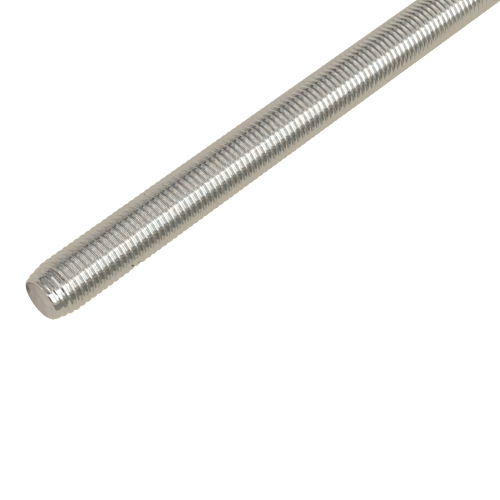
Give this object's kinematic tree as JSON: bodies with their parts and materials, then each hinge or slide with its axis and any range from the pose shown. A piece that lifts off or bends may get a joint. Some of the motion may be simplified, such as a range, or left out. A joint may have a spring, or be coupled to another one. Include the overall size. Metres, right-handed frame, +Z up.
{
  "type": "threaded rod",
  "caption": "Straight steel rod with a right-hand 60 degree thread from end to end and chamfered flat ends, for clamping parts between nuts.",
  "frame": {"origin": "on the rod's axis, half way along its length", "axes": "+X along the rod, +Z up as the rod lies on a table"},
  "size_m": [0.2, 0.016, 0.016],
  "materials": {
    "zinc_plated_steel": "bright zinc plated over a cold-rolled thread"
  },
  "bodies": {
    "root": {"threaded_rod": "zinc_plated_steel"}
  },
  "joints": []
}
